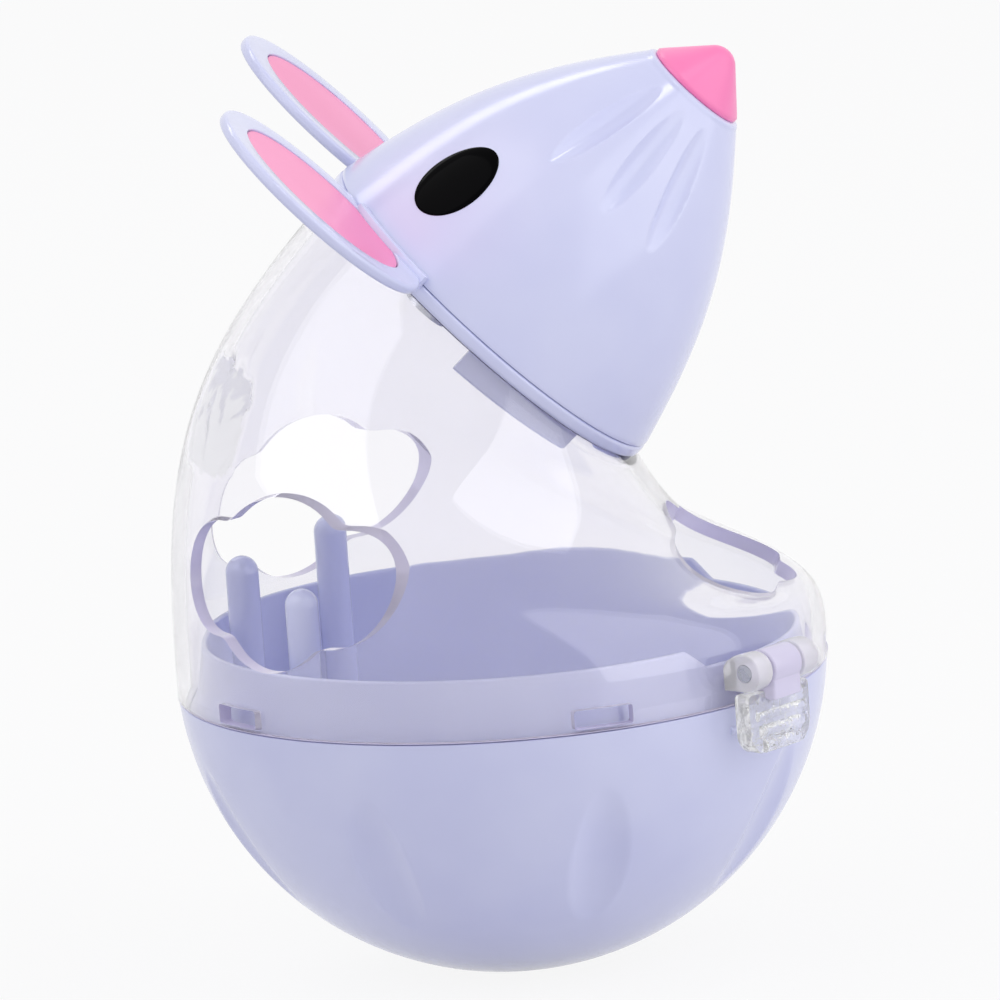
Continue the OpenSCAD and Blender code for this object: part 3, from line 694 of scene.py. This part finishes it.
def make_dome():
    """The dome, ring by ring up its outside and down its inside, with its holes, hinge arm and clip lugs."""
    a = np.linspace(0, 2 * np.pi, dome_sides, endpoint=False)
    outward = np.stack([np.cos(a), np.sin(a), np.zeros_like(a)], axis=-1)
    shares = np.linspace(0, 1, 97)
    rings = []
    looks = []

    def add_ring(ring, look):
        """Adds a ring and the finish of the faces from it to the next one."""
        rings.append(ring)
        looks.append(np.broadcast_to(look, len(a)))

    skirt_ends = [arc((ball_r - skirt_round, skirt_bottom + skirt_round), skirt_round, -90, 0, 5),
                  arc((skirt_in + skirt_round, skirt_bottom + skirt_round), skirt_round, 180, 270, 5)]
    for i, (r, z) in enumerate(skirt_ends[0]):
        add_ring(r * outward + z * upward, edge_look if i < len(skirt_ends[0]) - 1 else wall_look)
    for u in shares:
        add_ring(dome_point(a, u), edge_look if u == 1 else wall_look)
    for u in shares[::-1]:
        if u == 1:
            inward = np.cos(a)[:, None] * neck_down + np.sin(a)[:, None] * neck_side
        else:
            inward = dome_normal(a, u)
        thicker, frosted = back_pad(a, u)
        look = np.where(frosted, frost_look, wall_look)
        add_ring(dome_point(a, u) - (dome_wall + thicker)[:, None] * inward, look)
    for r, z in skirt_ends[1]:
        add_ring(r * outward + z * upward, edge_look)
    dome = make("clear_dome_shell", *rings_to_mesh(rings), clear_looks, np.concatenate(looks))

    cutters = []
    for side in (-1, 1):
        out = turn_z([[1, 0, 0]], side * rear_hole_turn)[0]
        wide = turn_z([[0, 1, 0]], side * rear_hole_turn)[0]
        cutters.append(hole_cutter(hole_d, ball_r * out + rear_hole_z * upward, wide, upward))
    slope = np.array([-np.sin(chest_hole_tilt), 0, np.cos(chest_hole_tilt)])
    cutters.append(hole_cutter(chest_hole_d, chest_hole_mid, neck_side, slope))
    for i in range(-1, 3):
        low = np.array([ball_r, 0, skirt_bottom / 2]) - window / 2
        turn = window_first + i * snap_step
        cutters.append(block(low, low + window, edge_round, turn, clear_looks, edge_look))
    combine(dome, cutters, "DIFFERENCE")

    wall_mid = ball_r - dome_wall / 2
    hinge_mid = (hinge_r, 0, -hinge_drop)
    arm = block((arm_in, -knuckle_w / 2, -hinge_drop), (hinge_r + knuckle_r, knuckle_w / 2, -arm_drop),
                edge_round, hinge_turn, clear_looks, edge_look)
    bridge = block((wall_mid, -knuckle_w / 2 + face_gap, skirt_bottom + bridge_lift),
                   (hinge_r, knuckle_w / 2 - face_gap, -arm_drop - face_gap),
                   edge_round, hinge_turn, clear_looks, edge_look)
    knuckle = cross_rod(knuckle_r, knuckle_w, edge_round, hinge_mid, hinge_turn, clear_looks, edge_look)
    bore = cross_rod(bore_r, knuckle_w + bore_extra, 0, hinge_mid, hinge_turn, clear_looks, edge_look)
    tools = [combine(fused([arm, bridge, knuckle]), [bore], "DIFFERENCE")]
    lug_shoulder = arc((0, 0), 1, 90, 175, 12) * np.array([clip_r - wall_mid, barrel_r + lug_sag])
    lug_edge = np.vstack([arc((clip_r, clip_z), barrel_r, -90, 90, 20),
                          lug_shoulder + (clip_r, clip_z - lug_sag),
                          [[wall_mid, clip_z - barrel_r]]])
    for side in (-1, 1):
        y = side * (clip_w - lug_w) / 2
        rings = prism(lug_edge, y - lug_w / 2, y + lug_w / 2, edge_round)
        points, faces = rings_to_mesh(rings[..., [0, 2, 1]], closed=False)
        lug = make("lug", turn_z(points, clip_turn), faces, clear_looks, block_look)
        bore = cross_rod(bore_r, lug_w + bore_extra, 0, (clip_r, y, clip_z), clip_turn,
                         clear_looks, edge_look)
        tools.append(combine(lug, [bore], "DIFFERENCE"))
    combine(dome, tools, "UNION")
    dress(dome, "dome", "clear_dome")


# Front clip

def make_clip():
    """The clip: a plate with a barrel, a strap, a hook behind and finger ridges in front."""
    half = clip_w / 2
    low_corner = clip_bottom + clip_corner
    high_corner = clip_top - clip_top_corner
    corners = np.vstack([arc((-half + clip_corner, low_corner), clip_corner, 180, 270, 8),
                         arc((half - clip_corner, low_corner), clip_corner, 270, 360, 8),
                         arc((half - clip_top_corner, high_corner), clip_top_corner, 0, 90, 4),
                         arc((-half + clip_top_corner, high_corner), clip_top_corner, 90, 180, 4)])
    rings = prism(corners, clip_in, clip_in + clip_t, clip_round)
    points, faces = rings_to_mesh(rings[..., [2, 0, 1]], closed=False)
    clip = make("front_clip_plate", turn_z(points, clip_turn), faces, clear_looks, grip_look)
    clip_mid = (clip_r, 0, clip_z)
    barrel = cross_rod(barrel_r, barrel_w, edge_round, clip_mid, clip_turn, clear_looks, edge_look)
    strap_half = barrel_w / 2 - face_gap
    strap = block((clip_in + face_gap, -strap_half, clip_top - strap_root),
                  (clip_r + barrel_r - strap_inset, strap_half, clip_z),
                  edge_round, clip_turn, clear_looks, edge_look)
    grip_z = clip_bottom + grip_rise
    hook = block((ball_r + hook_gap, -hook_w / 2, grip_z - hook_h / 2),
                 (clip_in + hook_root, hook_w / 2, grip_z + hook_h / 2),
                 hook_round, clip_turn, clear_looks, grip_look)
    parts = [clip, barrel, strap, hook]
    for i in range(ridge_count):
        place = (clip_in + clip_t, 0, grip_z + ridge_step * i)
        parts.append(cross_rod(ridge_r - ridge_taper * i, ridge_w + i, edge_round, place, clip_turn,
                               clear_looks, grip_look))
    bore = cross_rod(bore_r, barrel_w + bore_extra, 0, clip_mid, clip_turn, clear_looks, edge_look)
    combine(fused(parts), [bore], "DIFFERENCE")
    dress(clip, "clip", "front_clip")


# Head

def head_at(u):
    """Radius and distance from the rim at a share u along the head's edge."""
    return cubic(head_edge, u)


def head_out(u):
    """The direction square to the head's edge, as its parts outwards and along the neck."""
    run = head_at(min(u + small_step, 1)) - head_at(max(u - small_step, 0))
    return unit(np.array([run[1], -run[0]]))


def whisker_sink(a, u):
    """How deep the whisker flutes lie in the cheeks; a is the angle from the throat."""
    v = (u - whisker_span[0]) / (whisker_span[1] - whisker_span[0])
    if not 0 < v < 1:
        return np.zeros_like(a)
    r = head_at(u)[0]
    from_top = np.degrees(np.abs((a % (2 * np.pi)) - np.pi))
    sink = np.zeros_like(a)
    for turn in whisker_turns:
        across = np.radians(from_top - turn) * r
        raw = whisker_depth * 4 * v * (1 - v) - across ** 2 / (2 * whisker_round)
        sink = np.maximum(sink, softened(raw, whisker_soft))
    return sink


def make_head():
    """The head's shell, row by row from its rim over the cheeks to the nose's socket and back inside."""
    a = np.linspace(0, 2 * np.pi, head_sides, endpoint=False)
    ring = np.stack([np.cos(a), np.sin(a)], axis=-1)

    def row(r, t):
        return np.stack([r * ring[:, 0], r * ring[:, 1], t * np.ones_like(a)], axis=-1)

    third = 0.3 * head_rim_round
    rows = [row(head_r - head_rim_round, 0.0), row(head_r - third, third)]
    for u in np.linspace(0.01, muzzle_start, 150):
        r, t = head_at(u)
        out = head_out(u)
        sink = whisker_sink(a, u)
        rows.append(row(r - sink * out[0], t - sink * out[1]))
    end_r, end_t = head_at(muzzle_start)
    for share in np.linspace(0.25, 1, 4):
        rise = (head_l - end_t) * np.sin(share * np.pi / 2)
        rows.append(row(end_r - muzzle_round * share ** 2, end_t + rise))
    rows.append(row(nose_stem_r + stem_gap, head_l))
    rows.append(row(nose_stem_r + stem_gap, head_l - head_wall))
    for u in np.linspace(inner_end, 0, 60):
        r, t = head_at(u) - head_wall * head_out(u)
        rows.append(row(r, max(t, 0)))
    points, faces = rings_to_mesh(rows)
    dress(make("head_shell_skin", at_neck(points), faces, [white_abs]), "head", "head_shell")


def share_at(t):
    """The share along the head's edge that lies t from its rim."""
    shares = np.linspace(0, 1, 400)
    return np.interp(t, cubic(head_edge[:, None, 1], shares), shares)


def make_eye(name, side):
    """An oval lens that follows the cheek, a little proud of it and let into it."""
    u = share_at(eye_z)
    out = head_out(u)
    around = np.linspace(0, 2 * np.pi, eye_sides, endpoint=False)
    levels = [(1, -eye_depth), (1, 0.0)]
    for w in np.linspace(0.1, 1.5, 22):
        levels.append((np.cos(w), eye_step + eye_proud * np.sin(w) ** eye_crown))
    rings = []
    for grow, lift in levels:
        along = eye_l / 2 * grow * np.cos(around)
        across = eye_w / 2 * grow * np.sin(around)
        ring = []
        for p, q in zip(along, across):
            v = share_at(eye_z + p * out[0])
            r, t = head_at(v)
            n = head_out(v)
            angle = np.radians(180 - side * eye_turn) + q / head_at(u)[0]
            far = r + lift * n[0]
            ring.append((far * np.cos(angle), far * np.sin(angle), t + lift * n[1]))
        rings.append(ring)
    points, faces = rings_to_mesh(rings, closed=False)
    dress(make(name + "_lens", at_neck(points), faces, [black_abs]), "head", name, crease=50)


def make_nose():
    """The nose: a stem, a short rounded edge and a cone that runs into a ball at its tip."""
    tip_z = nose_l - nose_tip_r
    run = np.array([nose_r, nose_edge - tip_z])
    touch = np.degrees(np.arctan2(run[1], run[0]) + np.arccos(nose_tip_r / np.linalg.norm(run)))
    cone_end = arc((0, tip_z), nose_tip_r, touch, touch, 1)[0]
    profile = [[nose_stem_r, -nose_stem_l], [nose_stem_r, 0.0], [nose_r - nose_round, 0.0]]
    profile += arc((nose_r - nose_round, nose_round), nose_round, -60, 0, 4).tolist()
    profile += [[nose_r, nose_edge - nose_crease]]
    for share in np.linspace(0.06, 1, 14):
        profile.append((np.array([nose_r, nose_edge]) * (1 - share) + cone_end * share).tolist())
    profile += arc((0, tip_z), nose_tip_r, touch, 89, 14)[1:].tolist()
    points, faces = rings_to_mesh(lathe(profile, nose_sides), closed=False)
    nose = make("nose_cap", at_neck(points + head_l * upward), faces, [pink_abs])
    dress(nose, "head", "nose", crease=40)


# Ears

def disc(radius, bottom, top, rounding):
    """Rings of a disc with rounded edges."""
    profile = [[0.2, bottom]]
    profile += arc((radius - rounding, bottom + rounding), rounding, -90, 0, 6).tolist()
    profile += arc((radius - rounding, top - rounding), rounding, 0, 90, 6).tolist()
    profile.append([(radius - rounding) * 0.97, top])
    return lathe(profile, ear_sides)


def ear_dish(side):
    """An ear with the pocket for its inlay; heights are from the ear's face until it is put in place."""
    pocket_r = inlay_r + inlay_gap
    pocket_edge = arc((pocket_r + pocket_round, -pocket_round), pocket_round, 90, 180, 4)
    pocket_floor = [[pocket_r, -inlay_t], [0.9 * pocket_r, -inlay_t]]
    pocket = lathe(np.vstack([pocket_edge, pocket_floor]), ear_sides)
    rings = np.concatenate([disc(ear_r, -ear_disc_t, 0.0, ear_round), pocket])
    points, faces = rings_to_mesh(rings, closed=False)
    return make("ear", at_neck(points + np.array([-ear_rise, side * ear_side, ear_lift])), faces)


def at_neck_mesh(rings):
    """Points and faces of a stack of rings that is given from the middle of the head's rim."""
    points, faces = rings_to_mesh(rings, closed=False)
    return at_neck(points), faces


def neck_rod(radius, bottom, top):
    """A plain rod along the neck's axis."""
    return make("rod", *at_neck_mesh(lathe([[radius, bottom], [radius, top]], neck_rod_sides)))


def swept(section, turn, span):
    """A section of (radius, height) pairs swept about the neck's axis, to each side of a direction."""
    section = np.asarray(section)
    rings = [np.stack([section[:, 0] * np.cos(b), section[:, 0] * np.sin(b), section[:, 1]], axis=-1)
             for b in np.radians(turn + np.linspace(-span / 2, span / 2, sweep_steps))]
    rows, columns = len(rings), len(section)
    ends = [range(columns), range((rows - 1) * columns, rows * columns)]
    return make("sweep", at_neck(np.concatenate(rings)), ring_faces(rows, columns, closed=False) + ends)


def make_ear_plate():
    """The plate under the head, with its snap tabs, its ears and the collars between ears and head."""
    plate = make("ear_plate_skin", *at_neck_mesh(disc(head_r, -ear_t, -face_gap, ear_round)), [white_abs])
    root = -ear_t + tab_corner
    end = -ear_t - tab_l
    tab = [[tab_in, root], [tab_in, end + tab_corner], [tab_in + tab_corner, end],
           [tab_out - tab_corner, end], [tab_out, end + tab_corner], [tab_out, root]]
    out = collar_in + collar_w
    collar = [[head_r - collar_w, -ear_t / 2], [out, ear_lift - inlay_t - collar_sink],
              [out, collar_h - collar_round], [out - collar_bevel, collar_h - collar_bevel],
              [out - collar_round, collar_h], [collar_in, collar_h],
              [collar_in, -ear_t / 4], [head_r - collar_w, -ear_t / 4]]
    for side in (-1, 1):
        ear = ear_dish(side)
        combine(ear, [neck_rod(collar_in + collar_w / 2, 0, ear_t)], "DIFFERENCE")
        combine(ear, [swept(collar, side * collar_turn, collar_arc)], "UNION")
        combine(plate, [ear], "UNION")
        combine(plate, [swept(tab, side * tab_turn, tab_arc)], "UNION")
    dress(plate, "head", "ear_plate")


def make_inlay(name, side):
    """A disc that stops short of the collar, let into its ear."""
    a = np.linspace(0, 2 * np.pi, inlay_sides, endpoint=False)
    ring = np.stack([np.cos(a), np.sin(a)], axis=-1)
    mid = np.array([-ear_rise, side * ear_side])
    ahead = ring @ mid
    left = ahead ** 2 - mid @ mid + (collar_in + collar_w + inlay_gap) ** 2
    reach = np.where((left > 0) & (ahead < 0), -ahead - np.sqrt(np.maximum(left, 0)), inlay_r)
    outline = mid + np.minimum(reach, inlay_r)[:, None] * ring
    rings = prism(outline, ear_lift - inlay_t + face_gap, ear_lift - inlay_sink, inlay_round)
    inlay = make(name + "_disc", *at_neck_mesh(rings), [pink_abs])
    dress(inlay, "head", name)


make_bowl()
make_dome()
make_clip()
make_head()
make_eye("left_eye", 1)
make_eye("right_eye", -1)
make_nose()
make_ear_plate()
make_inlay("left_ear_inlay", 1)
make_inlay("right_ear_inlay", -1)

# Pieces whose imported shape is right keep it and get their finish
kept_finish = {"peg_floor": white_abs, "counterweight": iron, "floor_screws": steel, "hinge_pin": steel,
               "clip_pin": steel, "head_screws": steel}
for name, material in kept_finish.items():
    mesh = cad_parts[name].data
    mesh.materials.clear()
    mesh.materials.append(material)

# Floor: a pale sheet that is white to the eye and keeps a soft shadow

floor_half = 6.0
floor_glow = 0.9
room_light = 0.47
seen_white = 1.0


def seen_rays(tree):
    """1 for rays from the eye, straight or by way of gloss or clear plastic, and 0 for light."""
    rays = add_node(tree, "ShaderNodeLightPath")
    shiny = add_node(tree, "ShaderNodeMath", {0: (rays, "Is Camera Ray"), 1: (rays, "Is Glossy Ray")},
                     operation="MAXIMUM")
    return add_node(tree, "ShaderNodeMath", {0: (shiny, "Value"), 1: (rays, "Is Transmission Ray")},
                    operation="MAXIMUM")


def make_floor():
    """A wide sheet of white paper; the eye sees mostly its white, and the rest takes the shadow."""
    half = floor_half
    corners = [(-half, -half, 0), (half, -half, 0), (half, half, 0), (-half, half, 0)]
    mesh = bpy.data.meshes.new("floor")
    mesh.from_pydata(corners, [], [(0, 1, 2, 3)])
    floor = bpy.data.objects.new("floor", mesh)
    bpy.context.scene.collection.objects.link(floor)
    material, tree = new_material("white_paper_floor")
    seen = seen_rays(tree)
    share = add_node(tree, "ShaderNodeMath", {0: (seen, "Value"), 1: floor_glow}, operation="MULTIPLY")
    paper = add_node(tree, "ShaderNodeBsdfDiffuse", {"Color": linear("#dcdce2")})
    glow = add_node(tree, "ShaderNodeEmission", {"Color": linear("#ffffff"), "Strength": seen_white})
    mix = add_node(tree, "ShaderNodeMixShader", {0: (share, "Value"), 1: (paper, "BSDF"),
                                                 2: (glow, "Emission")})
    add_node(tree, "ShaderNodeOutputMaterial", {"Surface": (mix, "Shader")})
    mesh.materials.append(material)


# Studio light

def area_light(name, place, target, size, watts):
    """A soft box of a size in metres that faces its target."""
    lamp = bpy.data.lights.new(name, "AREA")
    lamp.shape = "RECTANGLE"
    lamp.size, lamp.size_y = size
    lamp.energy = watts
    light = bpy.data.objects.new(name, lamp)
    light.location = place
    light.rotation_euler = (Vector(target) - Vector(place)).to_track_quat("-Z", "Y").to_euler()
    bpy.context.scene.collection.objects.link(light)


def make_world():
    """A room that lights the object evenly and is white to the eye."""
    world = bpy.data.worlds.new("studio")
    world.use_nodes = True
    tree = world.node_tree
    tree.nodes.clear()
    seen = seen_rays(tree)
    light = add_node(tree, "ShaderNodeBackground", {"Color": linear("#ffffff"), "Strength": room_light})
    white = add_node(tree, "ShaderNodeBackground", {"Color": linear("#ffffff"), "Strength": seen_white})
    mix = add_node(tree, "ShaderNodeMixShader", {0: (seen, "Value"), 1: (light, "Background"),
                                                 2: (white, "Background")})
    add_node(tree, "ShaderNodeOutputWorld", {"Surface": (mix, "Shader")})
    bpy.context.scene.world = world


make_floor()
make_world()
middle = (0, 0, 0.05)
area_light("key", (0.95, -0.4, 0.5), middle, (1.3, 1.3), 6.6)
area_light("fill", (-0.65, -0.35, 0.95), middle, (1.2, 1.2), 5.0)
area_light("rim", (-0.33, 0.57, 0.75), middle, (0.6, 0.15), 0.9)
area_light("spark", (0.35, -0.15, 0.9), middle, (0.14, 0.14), 0.6)

# Camera at the photograph's angle; its roll shows the dispenser caught in its wobble

view_turn = np.radians(-2.8)
view_elevation = np.radians(11.9)
view_roll = np.radians(4.07)
view_far = 2000
view_across = 115
view_right = -0.1
view_rise = 16.75
sensor = 36


def make_camera():
    """A long lens level with the ball's middle, aimed at a point above it."""
    level = np.array([np.cos(view_turn), -np.sin(view_turn), 0])
    ahead = np.array([np.sin(view_turn), np.cos(view_turn), 0])
    look = np.cos(view_elevation) * ahead - np.array([0, 0, np.sin(view_elevation)])
    rise = np.cross(level, look)
    right = np.cos(view_roll) * level - np.sin(view_roll) * rise
    up = np.sin(view_roll) * level + np.cos(view_roll) * rise
    place = ball_mid - view_far * look
    aim = unit(ball_mid + view_right * right + view_rise * up - place)
    right = unit(right - (right @ aim) * aim)
    lens = bpy.data.cameras.new("camera")
    lens.sensor_width = sensor
    lens.lens = sensor * view_far / view_across
    lens.clip_end = 20
    camera = bpy.data.objects.new("camera", lens)
    turn = Matrix(np.column_stack([right, np.cross(right, aim), -aim]).tolist()).to_4x4()
    camera.matrix_world = Matrix.Translation(Vector(place * MM)) @ turn
    bpy.context.scene.collection.objects.link(camera)
    bpy.context.scene.camera = camera


make_camera()
bpy.context.scene.view_settings.view_transform = "Standard"
